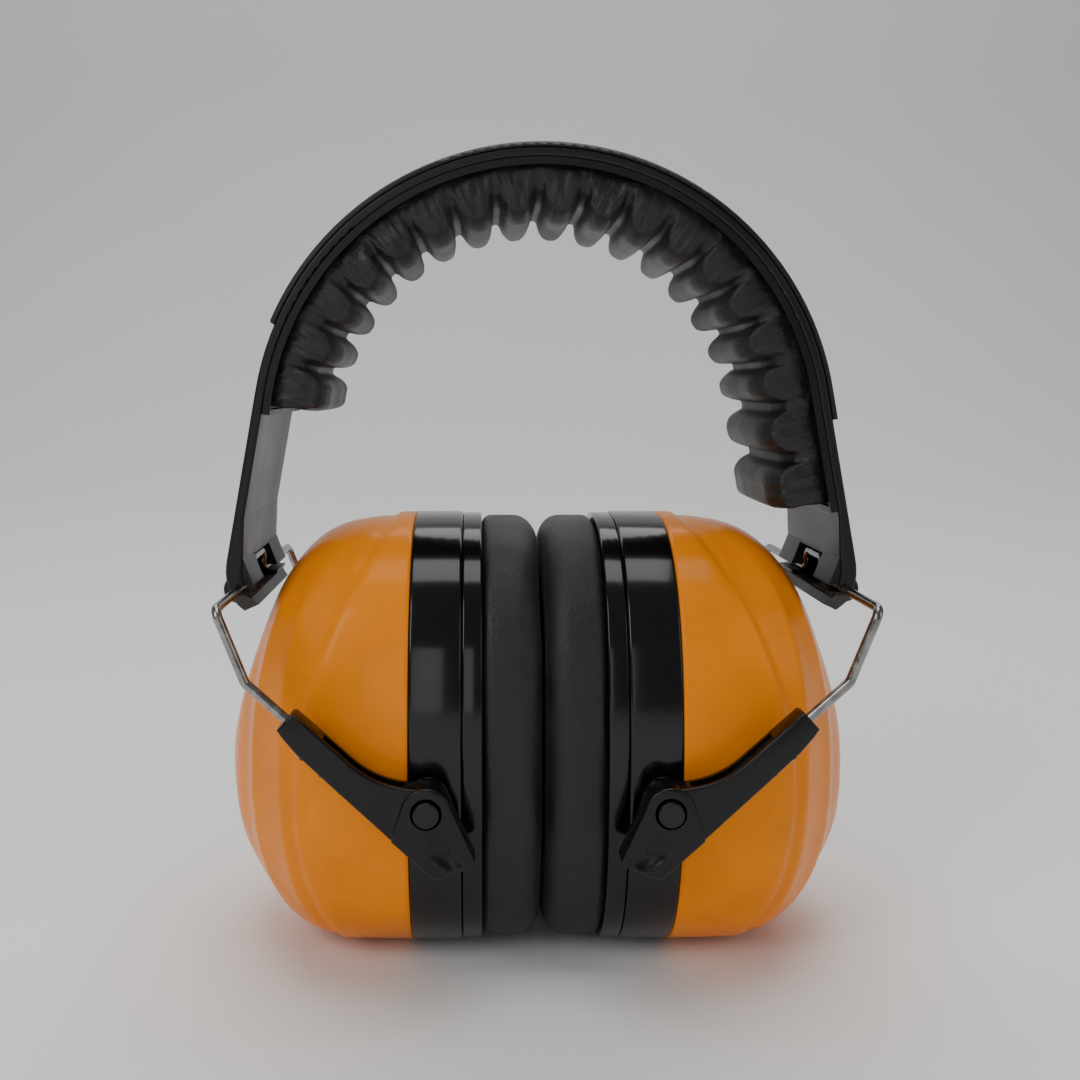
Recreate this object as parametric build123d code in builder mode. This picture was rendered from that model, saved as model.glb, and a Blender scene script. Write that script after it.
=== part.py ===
from build123d import *
from math import copysign, cos, hypot, radians, sin, tan
import os

os.makedirs("parts", exist_ok=True)

# Earmuff hearing protector: X across the head, Y front to back, Z up, cups closed on each other.

# ---- overall sizes ----
CUP_HEIGHT = 96.0  # Z, over one cup
CUP_DEPTH = 76.0  # Y, over one cup
BAND_RADIUS = 62.8  # outside of the spring band's arch
BAND_WIDTH = 43.0
PIVOT_AT = 0.434  # height of the cup pivots, as a share of the cup's

# ---- stack of one cup, outward from the middle plane ----
CUSHION_GAP = 0.45  # middle plane to cushion
CUSHION_THICK = 12.5
PLATE_THICK = 4.3
RING_THICK = 11.1
SHELL_PROUD = 4.4  # outermost point of the shell, beyond the yoke hinge
SHELL_WALL = 2.6
RING_WALL = 3.4
PLATE_INSET = 0.3  # plate's edge, inside the ring's
CUSHION_INSET = 0.9  # cushion's edge, inside the ring's
FOOT_TRIM = 0.8  # taken off the oval's lowest point for a flat foot
OVAL_POWER = 2.4
OVAL_POINTS = 24
RIM_ROUND = 0.8
EAR_HEIGHT = 60.0
EAR_DEPTH = 40.0
CUSHION_ROUND = 4.5
PLATE_LIP = 1.2  # plate's opening, wider than the cushion's on each side
# (share of the shell's reach, lowest and highest point as shares of the cup's height)
SHELL_SECTIONS = (
    (0.00, 0.000, 1.000),
    (0.24, 0.000, 0.995),
    (0.45, 0.002, 0.972),
    (0.60, 0.030, 0.925),
    (0.74, 0.085, 0.840),
    (0.86, 0.155, 0.715),
    (0.95, 0.235, 0.585),
    (1.00, 0.330, 0.490),
)

# ---- foam lining ----
FOAM_GAP = 0.2
FOAM_FROM = 0.15  # share of the shell's reach
FOAM_TO = 0.60

# ---- spring band ----
BAND_THICK = 2.2
LEG_THICKEN = 1.6  # leg's thickness at the hinge, as a multiple of the arch's
LEG_PLAIN = 28.0  # leg's length that stays as thin as the arch
LEG_SPREAD = 10.0  # degrees, each leg from the vertical
LEG_TO_HINGE = 32.6  # arch centre down to the hinge
HINGE_INSET = 3.7  # hinge behind the leg's outer face
LEG_END = 6.3  # leg's straight end, above the hinge
TIP_DROP = 5.4  # leg's tip at its outer face, below the hinge
TIP_RISE = 0.8  # tip's slope, rising towards its inner face
TIP_INSET = 0.5  # tip's outer edge, inward of the hinge
TIP_GAP = 3.3  # tip's inner corner, straight above the shell
KNUCKLE_RADIUS = 3.3
KNUCKLE_WEB = 11.0  # knuckle's web, up the leg
BAND_ROUND = 0.7
TIP_CHAMFER = 4.0

# ---- cover, tray and pad ----
UNIT_TURN = 9.7  # degrees, towards +X
COVER_SWEEP = 153.0
COVER_THICK = 1.2
COVER_ROUND = 0.9
PAD_SWEEP = 187.0
TRAY_THICK = 0.6
TRAY_LIP = 1.0
TRAY_EDGE = 0.6
TRAY_OVER = 1.1  # degrees past each end of the pad
PAD_GAP = 0.15
PAD_BODY = 9.0
LOBES = 18
LOBE_RADIUS = 4.1

# ---- yoke wire ----
WIRE_DIAMETER = 2.0
WIRE_FIT = 0.06  # radial, in the knuckle and in the arm
WIRE_BEND = 2.1
KNUCKLE_MOUTH = 1.5  # snap-in slot, narrower than the wire
CRANK_RISE = 4.6
CRANK_HALF = 6.5
CRANK_CLEAR = 0.5
LEG_ANGLE = 42.0  # degrees under the horizontal
LEG_SHOWN = 10.7
LEG_INSIDE = 23.0
STOP_RADIUS = 1.3
STOP_FIT = 0.15

# ---- slider arm ----
SIDE_GAP = 0.35
BOSS_PROUD = 2.7
ARM_THICK = 5.8
ARM_HIGH = 2.4
ARM_LOW = 3.7
ARM_END_LOW = 2.4
ARM_TAPER = 6.0
ARM_LENGTH = 33.0  # arm's end to pivot
ARM_ROUND = 0.5
CORNER_ROUND = 1.0
TUNNEL = 8.0
GROOVE_SHORT = 3.5  # groove's end, short of the pivot
PIVOT_OFFSET = 5.0
PADDLE_POINT = 11.2
PADDLE_REACH = 14.2
PADDLE_POINT_LOW = 3.4
PADDLE_REACH_HIGH = 2.8
PADDLE_HEAD = 4.6
SCOOP_RADIUS = 7.0
SCOOP_DEPTH = 1.5
SCOOP_ALONG = 6.6
SCOOP_ACROSS = 4.0
GRIPS = 5
GRIP_PITCH = 5.1
GRIP_RADIUS = 0.6
GRIP_START = 7.5

# ---- pivot pin ----
PIN_DIAMETER = 3.8
PIN_FIT = 0.05
PIN_SEAT_FIT = 0.02
PIN_HEAD_RADIUS = 2.6
PIN_HEAD = 0.8
PIN_HEAD_ROUND = 0.3
PIN_HOLD = 5.2  # shaft inside the boss
PIN_END_GAP = 0.4
BOSS_RADIUS = 4.0
BOSS_INSIDE = 2.0  # boss behind the blind end of its bore

# ---- places that follow from the sizes above ----
plate_x = CUSHION_GAP + CUSHION_THICK
ring_x = plate_x + PLATE_THICK
shell_x = ring_x + RING_THICK
pivot_x = shell_x - BOSS_RADIUS - FOAM_GAP
pivot_z = PIVOT_AT * CUP_HEIGHT
spread = radians(LEG_SPREAD)
arch_drop = LEG_TO_HINGE + BAND_RADIUS * sin(spread)
hinge_x = BAND_RADIUS * cos(spread) + arch_drop * tan(spread) - HINGE_INSET
bulge_x = hinge_x + SHELL_PROUD
tip_width = BAND_THICK * LEG_THICKEN
tip_rise = BAND_THICK * TIP_RISE
tip_share = (hinge_x - TIP_INSET - tip_width - shell_x) / (bulge_x - shell_x)


def shell_top(share):
    """Height of the shell's highest point at a share of its reach."""
    for (near, _, high), (far, _, low) in zip(SHELL_SECTIONS, SHELL_SECTIONS[1:]):
        if near <= share <= far:
            return CUP_HEIGHT * (high + (low - high) * (share - near) / (far - near))


hinge_z = shell_top(tip_share) + TIP_GAP + TIP_DROP - tip_rise
arch_z = hinge_z + LEG_TO_HINGE
boss_y = CUP_DEPTH / 2 + BOSS_PROUD
arm_y = boss_y + SIDE_GAP
wire_y = arm_y + ARM_THICK / 2
wire_r = WIRE_DIAMETER / 2
run_r = wire_r + WIRE_FIT
pin_r = PIN_DIAMETER / 2
mouth_r = BAND_RADIUS - BAND_THICK
pad_r = mouth_r - TRAY_THICK
valley_r = pad_r - PAD_BODY
unit_mid = 90 - UNIT_TURN

arch_end = Vector(BAND_RADIUS * cos(spread), arch_z + BAND_RADIUS * sin(spread))
leg_dir = Vector(sin(spread), -cos(spread))
leg_in = Vector(-cos(spread), -sin(spread))
leg_z = hinge_z + LEG_END
leg_end = arch_end + leg_dir * ((arch_end.Y - leg_z) / cos(spread))

slope = radians(LEG_ANGLE)
along = Vector(-cos(slope), 0, -sin(slope))
across = Vector(-sin(slope), 0, cos(slope))
arm_end = Vector(pivot_x, 0, pivot_z) - along * ARM_LENGTH - across * PIVOT_OFFSET
elbow = arm_end - along * LEG_SHOWN


def oval(high, low, depth, x):
    """A closed superellipse in the plane at x, from z low to z high, depth wide in Y."""
    ring = [360 * i / OVAL_POINTS for i in range(OVAL_POINTS)]
    turn = [(cos(radians(a)), sin(radians(a))) for a in ring]
    power = 2 / OVAL_POWER
    points = [
        (
            x,
            depth / 2 * copysign(abs(c) ** power, c),
            (high + low) / 2 + (high - low) / 2 * copysign(abs(s) ** power, s),
        )
        for c, s in turn
    ]
    return Face(Wire([Edge.make_spline([Vector(*p) for p in points], periodic=True)]))


def cup_oval(inset, x):
    """The cup's oval, inset all round."""
    return oval(CUP_HEIGHT - inset, inset - FOOT_TRIM, CUP_DEPTH - 2 * inset, x)


def shell_faces(inset, start, stop):
    """The shell's ovals between two shares of its reach, inset all round and at the outer end."""
    reach = bulge_x - shell_x - inset
    rows = [r for r in SHELL_SECTIONS if start <= r[0] <= stop]
    faces = []
    for share, low, high in rows:
        depth = CUP_DEPTH * (high - low) - 2 * inset
        bottom = low * CUP_HEIGHT - FOOT_TRIM * (1 - share) + inset
        faces.append(oval(high * CUP_HEIGHT - inset, bottom, depth, shell_x + share * reach))
    return faces


def band_strip(outer, inner, sweep):
    """A strip between two radii, centred on the cover unit's middle, that runs on down the right leg."""
    last = unit_mid + sweep / 2
    run = radians(sweep - last + LEG_SPREAD) * BAND_RADIUS
    with BuildLine() as edge:
        ends = []
        for radius in (outer, inner):
            arc = CenterArc((0, arch_z), radius, LEG_SPREAD, last - LEG_SPREAD)
            leg = Line(arc @ 0, arc @ 0 + leg_dir * run)
            ends += [arc @ 1, leg @ 1]
        Line(ends[0], ends[2])
        Line(ends[1], ends[3])
    return edge.wires()[0]


def band_edge(inset, side):
    """One leg's line from the arch down to the tip, inset from the band's outside."""
    start = arch_end + leg_in * inset
    plain = start + leg_dir * LEG_PLAIN
    knee = leg_end + leg_in * inset * LEG_THICKEN
    tip = Vector(hinge_x - TIP_INSET - inset * LEG_THICKEN, hinge_z - TIP_DROP + inset * TIP_RISE)
    points = [Vector(side * p.X, p.Y) for p in (start, plain, knee, tip)]
    with BuildLine() as edge:
        Polyline(*points[:3])
        TangentArc(points[2], points[3], tangent=(side * leg_dir.X, leg_dir.Y))
    return edge.edges(), points[0], points[3]


# ---- spring band: one springy arch with a hinge knuckle at each end ----
with BuildPart() as spring_band:
    with BuildSketch(Plane.XZ):
        with BuildLine():
            ends = []
            for inset in (0, BAND_THICK):
                for side in (1, -1):
                    edges, start, tip = band_edge(inset, side)
                    add(edges)
                    ends.append(tip)
                CenterArc((0, arch_z), BAND_RADIUS - inset, LEG_SPREAD, 180 - 2 * LEG_SPREAD)
            Line(ends[0], ends[2])
            Line(ends[1], ends[3])
        make_face()
    extrude(amount=BAND_WIDTH / 2, both=True)
    edge_lines = spring_band.edges().filter_by(Axis.Y, reverse=True)
    fillet(edge_lines.filter_by(lambda e: abs(abs(e.center().Y) - BAND_WIDTH / 2) < RIM_ROUND), BAND_ROUND)
    # knuckles: a boss round each hinge and a web up the leg behind it
    for side in (1, -1):
        web_top = arch_end + leg_dir * ((arch_end.Y - hinge_z - KNUCKLE_WEB) / cos(spread))
        web_in = web_top + leg_in * BAND_THICK / 2
        with BuildSketch(Plane.XZ):
            with Locations((side * hinge_x, hinge_z)):
                Circle(KNUCKLE_RADIUS)
            with BuildLine():
                Polyline(
                    (side * web_in.X, web_in.Y),
                    (side * (hinge_x - KNUCKLE_RADIUS * cos(spread)), hinge_z + KNUCKLE_RADIUS * sin(spread)),
                    (side * (hinge_x - KNUCKLE_RADIUS * cos(slope)), hinge_z - KNUCKLE_RADIUS * sin(slope)),
                    (side * (hinge_x - TIP_INSET), hinge_z - TIP_DROP / 2),
                    (side * hinge_x, hinge_z),
                    close=True,
                )
            make_face()
        extrude(amount=BAND_WIDTH / 2 - BAND_ROUND, both=True)
    for side in (1, -1):
        # running hole for the wire, with its snap-in mouth on the inside
        with BuildSketch(Plane.XZ):
            with Locations((side * hinge_x, hinge_z)):
                Circle(run_r)
            with Locations((side * (hinge_x - KNUCKLE_RADIUS), hinge_z)):
                Rectangle(2 * KNUCKLE_RADIUS, KNUCKLE_MOUTH)
        extrude(amount=BAND_WIDTH, both=True, mode=Mode.SUBTRACT)
        # window for the wire's crank, closed at the back
        back = hinge_x + wire_r + CRANK_CLEAR
        front = hinge_x - 2 * KNUCKLE_RADIUS
        floor = hinge_z - wire_r - CRANK_CLEAR
        roof = hinge_z + CRANK_RISE + wire_r + CRANK_CLEAR
        window = CRANK_HALF + WIRE_BEND + CRANK_CLEAR
        with Locations((side * (back + front) / 2, 0, (floor + roof) / 2)):
            Box(back - front, 2 * window, roof - floor, mode=Mode.SUBTRACT)
        # chamfered corners of the tip
        with BuildSketch(Plane.YZ):
            for end in (1, -1):
                with BuildLine():
                    Polyline(
                        (end * BAND_WIDTH / 2, hinge_z - TIP_DROP + TIP_CHAMFER),
                        (end * BAND_WIDTH / 2, hinge_z - 2 * TIP_DROP),
                        (end * (BAND_WIDTH / 2 - TIP_CHAMFER), hinge_z - 2 * TIP_DROP),
                        (end * (BAND_WIDTH / 2 - TIP_CHAMFER), hinge_z - TIP_DROP),
                        close=True,
                    )
                make_face()
        extrude(amount=side * 2 * BAND_RADIUS, mode=Mode.SUBTRACT)
spring_band.part.label = "spring_band"
export_step(spring_band.part, "parts/spring_band.step")

# ---- cover clipped over the band's outside ----
with BuildPart() as band_cover:
    with BuildSketch(Plane.XZ):
        make_face(band_strip(BAND_RADIUS + COVER_THICK, BAND_RADIUS, COVER_SWEEP))
    extrude(amount=BAND_WIDTH / 2, both=True)
    outside = band_cover.faces().filter_by(GeomType.CYLINDER).sort_by(lambda f: f.area)[-1]
    fillet(outside.edges(), COVER_ROUND)
    add(spring_band.part, mode=Mode.SUBTRACT)
band_cover.part.label = "band_cover"
export_step(band_cover.part, "parts/band_cover.step")

# ---- tray clipped inside the band, with a lip all round the pad ----
with BuildPart() as pad_tray:
    with BuildSketch(Plane.XZ):
        make_face(band_strip(mouth_r, pad_r - TRAY_LIP, PAD_SWEEP + 2 * TRAY_OVER))
    extrude(amount=BAND_WIDTH / 2, both=True)
    with BuildSketch(Plane.XZ):
        make_face(band_strip(pad_r, valley_r, PAD_SWEEP))
    extrude(amount=BAND_WIDTH / 2 - TRAY_EDGE, both=True, mode=Mode.SUBTRACT)
pad_tray.part.label = "pad_tray"
export_step(pad_tray.part, "parts/pad_tray.step")

# ---- ridged pad ----
with BuildPart() as headband_pad:
    pitch = (PAD_SWEEP - TRAY_OVER) / LOBES
    with BuildSketch(Plane.XZ):
        make_face(band_strip(pad_r, valley_r, PAD_SWEEP - TRAY_OVER))
        for i in range(LOBES):
            turn = unit_mid + pitch * ((LOBES - 1) / 2 - i)
            # lobes past the arch's end follow the leg
            bend = radians(max(turn, LEG_SPREAD))
            slide = leg_dir * (radians(max(LEG_SPREAD - turn, 0)) * BAND_RADIUS)
            with Locations(Vector(valley_r * cos(bend), arch_z + valley_r * sin(bend)) + slide):
                Circle(LOBE_RADIUS)
    extrude(amount=BAND_WIDTH / 2 - TRAY_EDGE - PAD_GAP, both=True)
headband_pad.part.label = "headband_pad"
export_step(headband_pad.part, "parts/headband_pad.step")


def export_pair(right, name):
    """Write the right-hand piece, and its mirror image as the left-hand one."""
    right.label = name + "_right"
    export_step(right, f"parts/{name}_right.step")
    with BuildPart() as left:
        mirror(right, about=Plane.YZ)
    left.part.label = name + "_left"
    export_step(left.part, f"parts/{name}_left.step")


def export_four(rear, name):
    """Write the rear piece of the right-hand side and its three mirror images."""
    export_pair(rear, name + "_rear")
    with BuildPart() as front:
        mirror(rear, about=Plane.XZ)
    export_pair(front.part, name + "_front")


# ---- yoke wire ----
with BuildPart() as yoke_wire:
    tip = arm_end + along * LEG_INSIDE
    half = [
        Vector(tip.X, wire_y, tip.Z),
        Vector(elbow.X, wire_y, elbow.Z),
        Vector(hinge_x, wire_y, hinge_z),
        Vector(hinge_x, CRANK_HALF, hinge_z),
        Vector(hinge_x, CRANK_HALF, hinge_z + CRANK_RISE),
    ]
    with BuildLine() as wire_path:
        FilletPolyline(*half, *[Vector(p.X, -p.Y, p.Z) for p in reversed(half)], radius=WIRE_BEND)
    with BuildSketch(Plane(origin=half[0], z_dir=along)):
        Circle(wire_r)
    sweep(path=wire_path.wires()[0])
    # upset ends that can't leave the arms
    with Locations(half[0], Vector(half[0].X, -half[0].Y, half[0].Z)):
        Sphere(STOP_RADIUS)
export_pair(yoke_wire.part, "yoke_wire")

# ---- slider arm ----
arm_plane = Plane(origin=(arm_end.X, arm_y, arm_end.Z), x_dir=along, z_dir=(0, 1, 0))
with BuildPart() as slider_arm:
    with BuildSketch(arm_plane):
        with BuildLine():
            Polyline(
                (0, -ARM_END_LOW),
                (ARM_TAPER, -ARM_LOW),
                (ARM_LENGTH, -ARM_LOW),
                (ARM_LENGTH + PADDLE_POINT, -PADDLE_POINT_LOW),
                (ARM_LENGTH + PADDLE_REACH, PADDLE_REACH_HIGH),
                (ARM_LENGTH + PADDLE_HEAD, PIVOT_OFFSET + PADDLE_HEAD / 2),
                (ARM_LENGTH - PADDLE_HEAD, PIVOT_OFFSET + PADDLE_HEAD / 2),
                (ARM_LENGTH - 2 * PADDLE_HEAD, ARM_HIGH),
                (0, ARM_HIGH),
                close=True,
            )
        make_face()
        fillet(vertices(), CORNER_ROUND)
        with Locations((ARM_LENGTH, PIVOT_OFFSET)):
            Circle(PADDLE_HEAD)
        for i in range(GRIPS):
            with Locations((GRIP_START + i * GRIP_PITCH, -ARM_LOW)):
                Circle(GRIP_RADIUS)
    extrude(amount=ARM_THICK)
    outer_face = slider_arm.faces().sort_by(Axis.Y)[-1]
    fillet(outer_face.edges(), ARM_ROUND)
    wire_plane = arm_plane.offset(ARM_THICK / 2)
    # closed tunnel where the wire enters
    with BuildSketch(Plane(origin=wire_plane.origin, z_dir=along)):
        Circle(run_r)
    extrude(amount=TUNNEL, mode=Mode.SUBTRACT)
    # groove behind it, open along the upper side, for the wire's upset end
    groove_r = STOP_RADIUS + STOP_FIT
    groove_end = ARM_LENGTH - GROOVE_SHORT - PADDLE_HEAD
    with BuildSketch(Plane(origin=wire_plane.origin + along * TUNNEL, z_dir=along)):
        Circle(groove_r)
    extrude(amount=groove_end - TUNNEL, mode=Mode.SUBTRACT)
    with BuildSketch(wire_plane):
        with Locations(((TUNNEL + groove_end) / 2, ARM_HIGH)):
            Rectangle(groove_end - TUNNEL, 2 * ARM_HIGH)
    extrude(amount=groove_r, both=True, mode=Mode.SUBTRACT)
    # bore for the pivot pin
    with BuildSketch(arm_plane):
        with Locations((ARM_LENGTH, PIVOT_OFFSET)):
            Circle(pin_r + PIN_SEAT_FIT)
    extrude(amount=ARM_THICK, mode=Mode.SUBTRACT)
    # thumb scoop under the pin
    scoop = arm_plane.offset(ARM_THICK + SCOOP_RADIUS - SCOOP_DEPTH)
    scoop_at = scoop.from_local_coords(Vector(ARM_LENGTH + SCOOP_ALONG, PIVOT_OFFSET - SCOOP_ACROSS, 0))
    with Locations(scoop_at):
        Sphere(SCOOP_RADIUS, mode=Mode.SUBTRACT)
export_four(slider_arm.part, "slider_arm")

# ---- pivot pin ----
with BuildPart() as pivot_pin:
    pin_plane = Plane(origin=(pivot_x, boss_y - PIN_HOLD, pivot_z), z_dir=(0, 1, 0))
    with BuildSketch(pin_plane):
        Circle(pin_r)
    extrude(amount=PIN_HOLD + SIDE_GAP + ARM_THICK)
    with BuildSketch(pin_plane.offset(PIN_HOLD + SIDE_GAP + ARM_THICK)):
        Circle(PIN_HEAD_RADIUS)
    extrude(amount=PIN_HEAD)
    fillet(pivot_pin.faces().sort_by(Axis.Y)[-1].edges(), PIN_HEAD_ROUND)
export_four(pivot_pin.part, "pivot_pin")

# ---- cup shell ----
with BuildPart() as cup_shell:
    loft(sections=shell_faces(0, 0, 1))
    loft(sections=shell_faces(SHELL_WALL, 0, 1), mode=Mode.SUBTRACT)
    split(bisect_by=Plane.XY, keep=Keep.TOP)
export_pair(cup_shell.part, "cup_shell")

# ---- sound-absorbing foam in the shell ----
with BuildPart() as cup_foam:
    loft(sections=shell_faces(SHELL_WALL + FOAM_GAP, FOAM_FROM, FOAM_TO))
export_pair(cup_foam.part, "cup_foam")

# ---- ring that carries the pivots ----
with BuildPart() as mid_ring:
    extrude(cup_oval(0, ring_x), amount=RING_THICK, dir=(1, 0, 0))
    fillet(mid_ring.edges().filter_by(GeomType.BSPLINE), RIM_ROUND)
    extrude(cup_oval(RING_WALL, ring_x), amount=RING_THICK, dir=(1, 0, 0), mode=Mode.SUBTRACT)
    # round bosses through the wall, with blind bores for the pins
    bore_y = boss_y - PIN_HOLD - PIN_END_GAP
    for side in (1, -1):
        root = Plane(origin=(pivot_x, side * (bore_y - BOSS_INSIDE), pivot_z), z_dir=(0, side, 0))
        with BuildSketch(root):
            Circle(BOSS_RADIUS)
        extrude(amount=boss_y - bore_y + BOSS_INSIDE)
        with BuildSketch(root.offset(BOSS_INSIDE)):
            Circle(pin_r + PIN_FIT)
        extrude(amount=boss_y - bore_y, mode=Mode.SUBTRACT)
    split(bisect_by=Plane.XY, keep=Keep.TOP)
export_pair(mid_ring.part, "mid_ring")

# ---- plate that holds the cushion ----
with BuildPart() as cushion_plate:
    extrude(cup_oval(PLATE_INSET, plate_x), amount=PLATE_THICK, dir=(1, 0, 0))
    fillet(cushion_plate.edges().filter_by(GeomType.BSPLINE), RIM_ROUND)
    ear_mid = (CUP_HEIGHT - FOOT_TRIM) / 2
    wide = EAR_HEIGHT / 2 + PLATE_LIP
    opening = oval(ear_mid + wide, ear_mid - wide, EAR_DEPTH + 2 * PLATE_LIP, plate_x)
    extrude(opening, amount=PLATE_THICK, dir=(1, 0, 0), mode=Mode.SUBTRACT)
    split(bisect_by=Plane.XY, keep=Keep.TOP)
export_pair(cushion_plate.part, "cushion_plate")

# ---- ear cushion ----
with BuildPart() as ear_cushion:
    extrude(cup_oval(CUSHION_INSET, CUSHION_GAP), amount=CUSHION_THICK, dir=(1, 0, 0))
    opening = oval(ear_mid + EAR_HEIGHT / 2, ear_mid - EAR_HEIGHT / 2, EAR_DEPTH, CUSHION_GAP)
    extrude(opening, amount=CUSHION_THICK, dir=(1, 0, 0), mode=Mode.SUBTRACT)
    fillet(ear_cushion.edges().filter_by(GeomType.BSPLINE), CUSHION_ROUND)
export_pair(ear_cushion.part, "ear_cushion")
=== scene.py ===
from math import atan2, copysign, cos, degrees, exp, hypot, pi, radians, sin, tan

import bmesh
import bpy
from mathutils import Euler, Matrix, Vector, noise


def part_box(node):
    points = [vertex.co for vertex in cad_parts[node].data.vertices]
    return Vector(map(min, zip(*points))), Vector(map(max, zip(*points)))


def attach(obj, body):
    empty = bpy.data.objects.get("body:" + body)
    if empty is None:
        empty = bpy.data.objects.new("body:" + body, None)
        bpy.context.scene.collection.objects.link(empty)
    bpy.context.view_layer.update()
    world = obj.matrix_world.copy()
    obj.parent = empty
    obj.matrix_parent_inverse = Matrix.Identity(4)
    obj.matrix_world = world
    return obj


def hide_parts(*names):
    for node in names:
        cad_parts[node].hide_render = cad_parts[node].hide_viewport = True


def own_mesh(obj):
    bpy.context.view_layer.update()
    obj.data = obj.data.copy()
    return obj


bl_info = {
    "name": "Earmuff hearing protector",
    "version": (1, 0, 0),
    "blender": (4, 5, 0),
    "location": "View3D > Sidebar > Earmuff",
    "description": "Models an over-ear hearing protector on its CAD frame",
    "category": "Object",
}

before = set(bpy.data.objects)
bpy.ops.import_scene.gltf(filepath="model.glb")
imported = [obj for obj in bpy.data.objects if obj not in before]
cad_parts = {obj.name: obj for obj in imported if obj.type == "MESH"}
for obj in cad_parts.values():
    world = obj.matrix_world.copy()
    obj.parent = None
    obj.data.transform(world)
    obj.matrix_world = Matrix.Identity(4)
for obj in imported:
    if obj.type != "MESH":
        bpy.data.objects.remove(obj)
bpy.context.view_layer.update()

MM = 0.001
SIDES = (("right", 1), ("left", -1))
ENDS = (("rear", 1), ("front", -1))
OVAL_POWER = 2.4
OVAL_STEPS = 128
FOOT_TRIM = 0.8

ring_low, ring_high = (Vector(c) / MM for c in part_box("mid_ring_right"))
shell_low, shell_high = (Vector(c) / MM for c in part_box("cup_shell_right"))
plate_low, plate_high = (Vector(c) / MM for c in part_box("cushion_plate_right"))
cushion_low, cushion_high = (Vector(c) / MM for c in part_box("ear_cushion_right"))
pad_low, pad_high = (Vector(c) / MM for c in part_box("headband_pad"))
band_low, band_high = (Vector(c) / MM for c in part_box("spring_band"))
pin_low, pin_high = (Vector(c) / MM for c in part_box("pivot_pin_rear_right"))

CUP_HEIGHT = shell_high.z
CUP_DEPTH = shell_high.y - shell_low.y
BAND_RADIUS = 62.8
ARCH_Z = band_high.z - BAND_RADIUS
PIVOT = Vector(((pin_low.x + pin_high.x) / 2, 0, (pin_low.z + pin_high.z) / 2))


# ---------------------------------------------------------------- settings


class ShellSettings(bpy.types.PropertyGroup):
    colour: bpy.props.FloatVectorProperty(
        name="Shell colour", description="Colour of the two moulded shells",
        subtype="COLOR", size=3, min=0, max=1, default=(0.9, 0.25, 0.0))
    flute_depth: bpy.props.FloatProperty(
        name="Flute depth", description="Depth of the soft upright flutes on each shell",
        default=1.1 * MM, min=0, max=2 * MM, unit="LENGTH")
    panel_step: bpy.props.FloatProperty(
        name="Panel step", description="How far the side panel stands proud of the fluted part",
        default=0.9 * MM, min=0, max=2 * MM, unit="LENGTH")


class PadSettings(bpy.types.PropertyGroup):
    colour: bpy.props.FloatVectorProperty(
        name="Pad colour", description="Colour of the leatherette on the headband pad",
        subtype="COLOR", size=3, min=0, max=1, default=(0.006, 0.0058, 0.0062))
    ridges: bpy.props.IntProperty(
        name="Ridges", description="Ridges between the two end blocks", default=16, min=4, max=40)
    wrinkle: bpy.props.FloatProperty(
        name="Wrinkle depth", description="Depth of the gathered wrinkles on the pad's sides",
        default=0.35 * MM, min=0, max=1 * MM, unit="LENGTH")


class CushionSettings(bpy.types.PropertyGroup):
    colour: bpy.props.FloatVectorProperty(
        name="Cushion colour", description="Colour of the ear cushions",
        subtype="COLOR", size=3, min=0, max=1, default=(0.006, 0.0068, 0.008))
    crown: bpy.props.FloatProperty(
        name="Crown", description="Rounding of the cushion's outer edges",
        default=5.2 * MM, min=1 * MM, max=6 * MM, unit="LENGTH")


class StageSettings(bpy.types.PropertyGroup):
    lens: bpy.props.FloatProperty(
        name="Lens", description="Focal length of the camera", default=38.29, min=10, max=200,
        unit="CAMERA")
    floor_colour: bpy.props.FloatVectorProperty(
        name="Floor colour", description="Colour of the floor", subtype="COLOR", size=3,
        min=0, max=1, default=(0.9, 0.9, 0.9))


# ---------------------------------------------------------------- mesh work


def oval(high, low, depth, steps=OVAL_STEPS):
    """Points (y, z) of a closed superellipse, from z low to z high and depth wide, flat under z 0."""
    power = 2 / OVAL_POWER
    points = []
    for i in range(steps):
        turn = 2 * pi * i / steps
        c, s = cos(turn), sin(turn)
        y = depth / 2 * copysign(abs(c) ** power, c)
        z = (high + low) / 2 + (high - low) / 2 * copysign(abs(s) ** power, s)
        points.append((y, max(z, 0.0)))
    return points


def cup_oval(inset, steps=OVAL_STEPS):
    """The cup's oval, inset all round."""
    return oval(CUP_HEIGHT - inset, inset - FOOT_TRIM, CUP_DEPTH - 2 * inset, steps)


def mesh_from_rings(name, rings, closed, side=1):
    """A skin over rings of points in millimetres. An unclosed skin ends in a fan at each end."""
    bm = bmesh.new()
    rows = [[bm.verts.new((side * x * MM, y * MM, z * MM)) for x, y, z in ring] for ring in rings]
    count = len(rows[0])
    pairs = list(zip(rows, rows[1:]))
    if closed:
        pairs.append((rows[-1], rows[0]))
    for one, two in pairs:
        for i in range(count):
            j = (i + 1) % count
            bm.faces.new((one[i], one[j], two[j], two[i]))
    if not closed:
        for row in (rows[0], rows[-1]):
            middle = sum((v.co for v in row), Vector()) / count
            hub = bm.verts.new(middle)
            for i in range(count):
                bm.faces.new((row[i], row[(i + 1) % count], hub))
    bmesh.ops.remove_doubles(bm, verts=bm.verts, dist=1e-7)
    bmesh.ops.recalc_face_normals(bm, faces=bm.faces)
    mesh = bpy.data.meshes.new(name)
    bm.to_mesh(mesh)
    bm.free()
    mesh.shade_smooth()
    return mesh


def add_piece(name, mesh, material, body, nodes=()):
    """Put a finished mesh in the scene, on its body, in place of its CAD nodes."""
    piece = bpy.data.objects.new(name, mesh)
    bpy.context.collection.objects.link(piece)
    mesh.materials.clear()
    mesh.materials.append(material)
    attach(piece, body)
    if nodes:
        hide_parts(*nodes)
    return piece


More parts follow.
